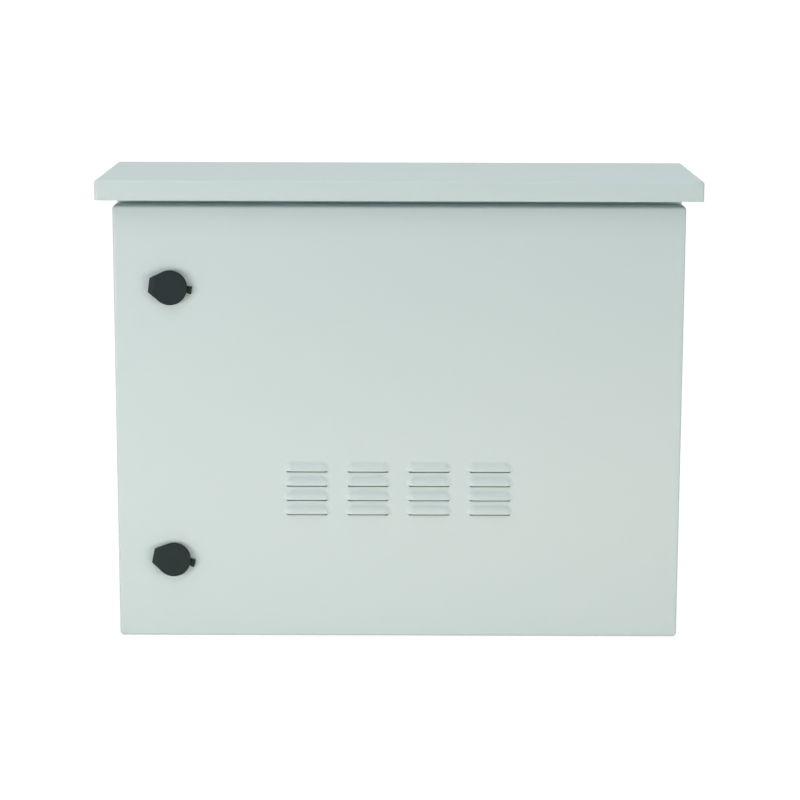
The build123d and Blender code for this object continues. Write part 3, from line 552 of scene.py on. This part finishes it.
def moved(tree, geometry, **inputs):
    """A geometry with its points at a Position, or moved by an Offset."""
    node = add_node(tree, "GeometryNodeSetPosition", {"Geometry": geometry, **inputs})
    return node.outputs["Geometry"]


def make_mesh(name, tree, sizes, points=((0, 0, 0),)):
    """Run a tree on a mesh of loose points and keep its result as a plain mesh object."""
    seedbed = bpy.data.meshes.new(f"{name}_points")
    seedbed.from_pydata([tuple(point) for point in points], [], [])
    carrier = bpy.data.objects.new(f"{name}_carrier", seedbed)
    bpy.context.scene.collection.objects.link(carrier)
    modifier = carrier.modifiers.new("Shape", "NODES")
    modifier.node_group = tree
    for item in tree.interface.items_tree:
        if item.in_out == "INPUT" and item.name in sizes:
            modifier[item.identifier] = sizes[item.name]
    bpy.context.view_layer.update()
    evaluated = carrier.evaluated_get(bpy.context.evaluated_depsgraph_get())
    mesh = bpy.data.meshes.new_from_object(evaluated)
    mesh.name = name
    piece = bpy.data.objects.new(name, mesh)
    bpy.context.scene.collection.objects.link(piece)
    carrier.modifiers.remove(modifier)
    bpy.data.objects.remove(carrier)
    return piece


def threaded_bar(tree, given):
    """Where each point of a square sheet goes, to roll it into a threaded bar."""
    calc = partial(maths, tree)
    sheet = place_of_points(tree)
    across = calc("ADD", sheet["X"], 0.5)
    along = calc("ADD", sheet["Y"], 0.5)
    # The first and the last row close the ends, and the rows between them carry the thread
    row_share = calc("DIVIDE", 1, calc("SUBTRACT", given["Rows"], 1))
    thread_span = calc("SUBTRACT", 1, calc("MULTIPLY", row_share, 2))
    climb = calc("DIVIDE", calc("SUBTRACT", along, row_share), thread_span)
    height = calc("MULTIPLY", calc("MINIMUM", calc("MAXIMUM", climb, 0), 1), given["Length"])
    # The groove is a V that gains one turn over each pitch
    turn = calc("ADD", calc("DIVIDE", height, given["Pitch"]), across)
    groove = calc("MULTIPLY", calc("PINGPONG", turn, 0.5), 2)
    threaded = calc("SUBTRACT", given["Radius"], calc("MULTIPLY", groove, given["Depth"]))
    # The tip is chamfered down to the core of the thread
    core = calc("SUBTRACT", given["Radius"], given["Depth"])
    to_tip = calc("SUBTRACT", given["Length"], height)
    chamfered = calc("MINIMUM", threaded, calc("ADD", core, calc("MULTIPLY", to_tip, TIP_SLOPE)))
    half_row = calc("MULTIPLY", row_share, 0.5)
    off_root = calc("GREATER_THAN", along, half_row)
    off_tip = calc("LESS_THAN", along, calc("SUBTRACT", 1, half_row))
    radius = calc("MULTIPLY", chamfered, calc("MULTIPLY", off_root, off_tip))
    angle = calc("MULTIPLY", across, FULL_TURN)
    x = calc("MULTIPLY", radius, calc("COSINE", angle))
    y = calc("MULTIPLY", radius, calc("SINE", angle))
    return vector_of(tree, x, y, height)


def thread_tree():
    """Threaded studs on points: a sheet rolled into a bar whose radius follows the thread."""
    tree, given, outlet = new_tree(
        "ThreadedStuds",
        {
            "Radius": "Float", "Length": "Float", "Pitch": "Float", "Depth": "Float",
            "Segments": "Int", "Rows": "Int", "Direction": "Vector", "Material": "Material",
        },
    )
    columns = maths(tree, "ADD", given["Segments"], 1)
    inputs = {"Size X": 1, "Size Y": 1, "Vertices X": columns, "Vertices Y": given["Rows"]}
    sheet = add_node(tree, "GeometryNodeMeshGrid", inputs)
    bar = moved(tree, sheet.outputs["Mesh"], Position=threaded_bar(tree, given))
    welded = add_node(
        tree, "GeometryNodeMergeByDistance", {"Geometry": bar, "Distance": 0.002 * MM}
    )
    aim = add_node(
        tree, "FunctionNodeAlignRotationToVector", {"Vector": given["Direction"]}, axis="Z"
    )
    inputs = {
        "Points": given["Geometry"],
        "Instance": welded.outputs["Geometry"],
        "Rotation": aim.outputs["Rotation"],
    }
    studs = add_node(tree, "GeometryNodeInstanceOnPoints", inputs)
    close_tree(tree, studs.outputs["Instances"], given, outlet, smooth=False)
    return tree


def seal_path(tree, given):
    """The centre line of the seal, a rectangle with rounded corners in even steps."""
    inputs = {"Width": given["Width"], "Height": given["Height"]}
    rectangle = add_node(
        tree, "GeometryNodeCurvePrimitiveQuadrilateral", inputs, mode="RECTANGLE"
    )
    inputs = {
        "Curve": rectangle.outputs["Curve"], "Radius": given["Corner Radius"], "Count": 10,
    }
    rounded = add_node(tree, "GeometryNodeFilletCurve", inputs, mode="POLY")
    inputs = {"Curve": rounded.outputs["Curve"], "Count": given["Steps"]}
    return add_node(tree, "GeometryNodeResampleCurve", inputs, mode="COUNT").outputs["Curve"]


def bead_profile(tree, given):
    """The section of the bead: a circle, squared a little and pressed flat on the door."""
    crown_power = 0.55
    circle = add_node(
        tree, "GeometryNodeCurvePrimitiveCircle", {"Resolution": 20, "Radius": 1}, mode="RADIUS"
    )
    point = place_of_points(tree)
    half_width = maths(tree, "MULTIPLY", given["Bead Width"], 0.5)
    across = maths(tree, "MULTIPLY", point["X"], half_width)
    crown = maths(tree, "POWER", maths(tree, "MAXIMUM", point["Y"], 0), crown_power)
    height = maths(tree, "MULTIPLY", crown, given["Bead Height"])
    return moved(tree, circle.outputs["Curve"], Position=vector_of(tree, across, height, 0))


def seal_tree():
    """Foam bead: its profile swept along a rounded rectangle, with a little unevenness."""
    ripple_size = 30 * MM
    tree, given, outlet = new_tree(
        "PouredSeal",
        {
            "Width": "Float", "Height": "Float", "Corner Radius": "Float",
            "Bead Width": "Float", "Bead Height": "Float", "Waviness": "Float",
            "Steps": "Int", "Centre": "Vector", "Material": "Material",
        },
    )
    inputs = {
        "Curve": seal_path(tree, given),
        "Profile Curve": bead_profile(tree, given),
        "Fill Caps": False,
    }
    bead = add_node(tree, "GeometryNodeCurveToMesh", inputs).outputs["Mesh"]
    # The bead grows towards -Z from the flat path, and its crown is lowered unevenly
    ripple = add_node(tree, "ShaderNodeTexNoise", {"Scale": 1 / ripple_size}).outputs["Fac"]
    below_top = maths(tree, "SUBTRACT", ripple, HIGHEST_RIPPLE)
    lowered = maths(tree, "MULTIPLY", below_top, given["Waviness"])
    crown_share = maths(tree, "DIVIDE", place_of_points(tree)["Z"], given["Bead Height"])
    offset = vector_of(tree, 0, 0, maths(tree, "MULTIPLY", crown_share, lowered))
    uneven = moved(tree, bead, Offset=offset)
    welded = add_node(
        tree, "GeometryNodeMergeByDistance", {"Geometry": uneven, "Distance": 0.001 * MM}
    )
    inputs = {
        "Geometry": welded.outputs["Geometry"],
        "Translation": given["Centre"],
        "Rotation": (math.pi / 2, 0, 0),
    }
    standing = add_node(tree, "GeometryNodeTransform", inputs)
    close_tree(tree, standing.outputs["Geometry"], given, outlet)
    return tree


def uneven_slab(tree, given):
    """A slab of small faces that are pressed in unevenly, by up to the loft."""
    lump_size = 5 * MM
    inputs = {"Size": given["Size"], "Vertices X": 150, "Vertices Y": 5, "Vertices Z": 44}
    slab = add_node(tree, "GeometryNodeMeshCube", inputs)
    inputs = {"Scale": 1 / lump_size, "Detail": 4}
    lumps = add_node(tree, "ShaderNodeTexNoise", inputs).outputs["Fac"]
    inward = maths(tree, "MULTIPLY", maths(tree, "SUBTRACT", lumps, 1), given["Loft"])
    normal = add_node(tree, "GeometryNodeInputNormal").outputs["Normal"]
    push = add_node(
        tree, "ShaderNodeVectorMath", {"Vector": normal, "Scale": inward}, operation="SCALE"
    )
    return moved(tree, slab.outputs["Mesh"], Offset=push.outputs["Vector"])


def bent_fibre(tree):
    """One short fibre with a slight S bend."""
    half_length = 2.2 * MM
    handle = 1 * MM
    sway = 0.9 * MM
    lift = 0.1 * MM
    inputs = {
        "Resolution": 4,
        "Start": (-half_length, 0, 0),
        "Start Handle": (-handle, sway, 0),
        "End Handle": (handle, -sway, 2 * lift),
        "End": (half_length, 0, lift),
    }
    line = add_node(tree, "GeometryNodeCurvePrimitiveBezierSegment", inputs)
    section = add_node(
        tree, "GeometryNodeCurvePrimitiveCircle", {"Resolution": 3, "Radius": 0.05 * MM}
    )
    inputs = {
        "Curve": line.outputs["Curve"],
        "Profile Curve": section.outputs["Curve"],
        "Fill Caps": True,
    }
    return add_node(tree, "GeometryNodeCurveToMesh", inputs).outputs["Mesh"]


def fleece_tree():
    """Fleece mat: a slab with an uneven surface and short bent fibres on it."""
    tree, given, outlet = new_tree(
        "FilterFleece",
        {
            "Size": "Vector", "Centre": "Vector", "Loft": "Float", "Fibres": "Int",
            "Seed": "Int", "Material": "Material",
        },
    )
    slab = uneven_slab(tree, given)
    inputs = {
        "Mesh": slab,
        "Density": maths(tree, "DIVIDE", given["Fibres"], FIBRE_AREA),
        "Seed": given["Seed"],
    }
    scatter = add_node(
        tree, "GeometryNodeDistributePointsOnFaces", inputs, distribute_method="RANDOM"
    )
    spin = add_node(
        tree, "FunctionNodeRandomValue", {"Min": 0.0, "Max": FULL_TURN}, data_type="FLOAT"
    )
    inputs = {"Axis": (0, 0, 1), "Angle": spin.outputs["Value"]}
    about = add_node(tree, "FunctionNodeAxisAngleToRotation", inputs)
    inputs = {"Rotation": scatter.outputs["Rotation"], "Rotate By": about.outputs["Rotation"]}
    lay = add_node(tree, "FunctionNodeRotateRotation", inputs, rotation_space="LOCAL")
    inputs = {
        "Points": scatter.outputs["Points"],
        "Instance": bent_fibre(tree),
        "Rotation": lay.outputs["Rotation"],
    }
    fibres = add_node(tree, "GeometryNodeInstanceOnPoints", inputs)
    mat = add_node(tree, "GeometryNodeJoinGeometry", {"Geometry": slab})
    tree.links.new(fibres.outputs["Instances"], mat.inputs["Geometry"])
    inputs = {"Geometry": mat.outputs["Geometry"], "Translation": given["Centre"]}
    placed = add_node(tree, "GeometryNodeTransform", inputs)
    close_tree(tree, placed.outputs["Geometry"], given, outlet)
    return tree


class CABINET_OT_paint_sheet(bpy.types.Operator):
    """Powder coat the body, the canopy and the door."""

    bl_idname = "cabinet.paint_sheet"
    bl_label = "Paint Sheet Steel"

    def execute(self, context):
        paint_nodes(PAINTED, powder_coat())
        return {"FINISHED"}


class CABINET_OT_finish_metals(bpy.types.Operator):
    """Finish the galvanised sheets, the plated fixings and the cast locks."""

    bl_idname = "cabinet.finish_metals"
    bl_label = "Finish Metals"

    def execute(self, context):
        paint_nodes(GALVANISED, galvanised_sheet())
        paint_nodes(ZINC_PLATED, plated_zinc())
        paint_nodes(LOCK_METAL, cast_zinc())
        return {"FINISHED"}


class CABINET_OT_finish_plastics(bpy.types.Operator):
    """Finish the dust caps, their rings, the rubber pieces and the foam gasket."""

    bl_idname = "cabinet.finish_plastics"
    bl_label = "Finish Plastics"

    def execute(self, context):
        paint_nodes(PLASTIC, black_plastic())
        paint_nodes(RUBBER, soft_rubber())
        paint_nodes(FOAM, poured_foam())
        return {"FINISHED"}


class CABINET_OT_make_seal(bpy.types.Operator):
    """Lay the poured foam seal on the door."""

    bl_idname = "cabinet.make_seal"
    bl_label = "Make Door Seal"

    def execute(self, context):
        settings = context.scene.cabinet_seal
        low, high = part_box("door_seal")
        sizes = {
            "Width": high[0] - low[0] - SEAL_WIDTH,
            "Height": high[2] - low[2] - SEAL_WIDTH,
            "Corner Radius": settings.corner_radius,
            "Bead Width": SEAL_WIDTH,
            "Bead Height": high[1] - low[1],
            "Waviness": settings.waviness,
            "Steps": settings.steps,
            "Centre": ((low[0] + high[0]) / 2, low[1], (low[2] + high[2]) / 2),
            "Material": poured_foam(),
        }
        seal = make_mesh("door_seal_foam", seal_tree(), sizes)
        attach(seal, "door")
        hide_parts("door_seal")
        return {"FINISHED"}


class CABINET_OT_make_filter(bpy.types.Operator):
    """Lay the fleece mat into its frame behind the louvres."""

    bl_idname = "cabinet.make_filter"
    bl_label = "Make Filter Mat"

    def execute(self, context):
        settings = context.scene.cabinet_filter
        low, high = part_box("filter_mat")
        sizes = {
            "Size": tuple(top - bottom for bottom, top in zip(low, high)),
            "Centre": tuple((top + bottom) / 2 for bottom, top in zip(low, high)),
            "Loft": settings.loft,
            "Fibres": settings.fibres,
            "Seed": settings.seed,
            "Material": filter_fleece(),
        }
        fleece = make_mesh("filter_mat_fleece", fleece_tree(), sizes)
        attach(fleece, "door")
        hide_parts("filter_mat")
        return {"FINISHED"}


class CABINET_OT_cut_threads(bpy.types.Operator):
    """Replace the plain studs by threaded ones."""

    bl_idname = "cabinet.cut_threads"
    bl_label = "Cut Threads"

    def execute(self, context):
        settings = context.scene.cabinet_thread
        tree = thread_tree()
        material = plated_zinc()
        for name, body, direction, pitch in STUD_GROUPS:
            roots, radius, length = measure_studs(name, direction)
            sizes = {
                "Radius": radius,
                "Length": length,
                "Pitch": pitch,
                "Depth": pitch * settings.depth_share,
                "Segments": settings.segments,
                "Rows": int(length / pitch * settings.rows_per_turn) + THREAD_END_ROWS,
                "Direction": direction,
                "Material": material,
            }
            studs = make_mesh(f"{name}_threaded", tree, sizes, roots)
            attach(studs, body)
            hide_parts(name)
        return {"FINISHED"}


def soft_lamp(name, place, size, colour, power):
    """A rectangular soft lamp that looks at the cabinet."""
    light = bpy.data.lights.new(name, "AREA")
    light.shape = "RECTANGLE"
    light.size, light.size_y = size
    light.energy = power
    light.color = colour
    lamp = bpy.data.objects.new(name, light)
    bpy.context.scene.collection.objects.link(lamp)
    lamp.location = place
    gaze = Vector(LAMP_TARGET) - Vector(place)
    lamp.rotation_euler = gaze.to_track_quat("-Z", "Y").to_euler()


def make_backdrop():
    """A floor that curves up into a backdrop behind the cabinet."""
    front = -6.0
    back = 2.4
    rise = 4.0
    bend = 1.2
    bend_steps = 16
    half_width = 6.0
    outline = [(front, 0.0), (back - bend, 0.0)]
    for step in range(1, bend_steps + 1):
        angle = math.pi / 2 * step / bend_steps
        outline.append((back - bend + bend * math.sin(angle), bend - bend * math.cos(angle)))
    outline.append((back, rise))
    points = [(x, y, z) for y, z in outline for x in (-half_width, half_width)]
    faces = [(2 * i, 2 * i + 1, 2 * i + 3, 2 * i + 2) for i in range(len(outline) - 1)]
    mesh = bpy.data.meshes.new("studio_floor")
    mesh.from_pydata(points, [], faces)
    mesh.polygons.foreach_set("use_smooth", [True] * len(faces))
    mesh.materials.append(stage_white())
    floor = bpy.data.objects.new("studio_floor", mesh)
    bpy.context.scene.collection.objects.link(floor)
    return floor


def make_world(strength):
    """Even light of the given strength from all round, which the camera sees as white."""
    world = bpy.data.worlds.new("studio_world")
    world.use_nodes = True
    tree = world.node_tree
    sky = tree.nodes["Background"]
    sky.inputs["Color"].default_value = (1.0, 1.0, 1.0, 1)
    seen = add_node(tree, "ShaderNodeLightPath").outputs["Is Camera Ray"]
    tree.links.new(spread(tree, seen, strength, 1.0), sky.inputs["Strength"])
    return world


def make_camera(settings):
    """The camera, where the photograph was taken from."""
    camera_data = bpy.data.cameras.new("photo_camera")
    camera_data.lens = settings.lens
    camera = bpy.data.objects.new("photo_camera", camera_data)
    bpy.context.scene.collection.objects.link(camera)
    camera.matrix_world = (
        Matrix.Translation(settings.camera_place)
        @ Matrix.Rotation(settings.camera_yaw, 4, "Z")
        @ Matrix.Rotation(math.pi / 2 - settings.camera_pitch, 4, "X")
        @ Matrix.Rotation(settings.camera_roll, 4, "Z")
    )
    return camera


class CABINET_OT_set_stage(bpy.types.Operator):
    """Put up the floor, the soft lamps and the camera."""

    bl_idname = "cabinet.set_stage"
    bl_label = "Set Stage"

    def execute(self, context):
        settings = context.scene.cabinet_stage
        make_backdrop()
        for name, (place, size, colour) in LAMPS.items():
            power = getattr(settings, f"{name}_power")
            soft_lamp(f"{name}_lamp", place, size, colour, power)
        context.scene.world = make_world(settings.world_strength)
        context.scene.view_settings.view_transform = "Standard"
        context.scene.camera = make_camera(settings)
        return {"FINISHED"}


# Settings' name in the scene, settings and operator of each step, in the order of the steps
STEPS = (
    ("cabinet_stage", StageSettings, CABINET_OT_set_stage),
    ("cabinet_paint", PaintSettings, CABINET_OT_paint_sheet),
    ("cabinet_metal", MetalSettings, CABINET_OT_finish_metals),
    ("cabinet_plastic", PlasticSettings, CABINET_OT_finish_plastics),
    ("cabinet_seal", SealSettings, CABINET_OT_make_seal),
    ("cabinet_filter", FilterSettings, CABINET_OT_make_filter),
    ("cabinet_thread", ThreadSettings, CABINET_OT_cut_threads),
)


class CABINET_PT_sidebar(bpy.types.Panel):
    """Steps and settings of the cabinet in the sidebar."""

    bl_idname = "CABINET_PT_sidebar"
    bl_label = "Outdoor Cabinet"
    bl_space_type = "VIEW_3D"
    bl_region_type = "UI"
    bl_category = "Cabinet"

    def draw(self, context):
        for name, group, step in STEPS:
            box = self.layout.box()
            box.operator(step.bl_idname)
            for setting in group.__annotations__:
                box.prop(getattr(context.scene, name), setting)


def register():
    """Register the settings, the steps and the panel."""
    for name, group, step in STEPS:
        bpy.utils.register_class(group)
        setattr(bpy.types.Scene, name, PointerProperty(type=group))
        bpy.utils.register_class(step)
    bpy.utils.register_class(CABINET_PT_sidebar)


def unregister():
    """Take back what register added."""
    bpy.utils.unregister_class(CABINET_PT_sidebar)
    for name, group, step in reversed(STEPS):
        bpy.utils.unregister_class(step)
        delattr(bpy.types.Scene, name)
        bpy.utils.unregister_class(group)


def main():
    """Build the whole scene."""
    register()
    bpy.ops.cabinet.set_stage()
    bpy.ops.cabinet.paint_sheet()
    bpy.ops.cabinet.finish_metals()
    bpy.ops.cabinet.finish_plastics()
    bpy.ops.cabinet.make_seal()
    bpy.ops.cabinet.make_filter()
    bpy.ops.cabinet.cut_threads()


if __name__ == "__main__":
    main()
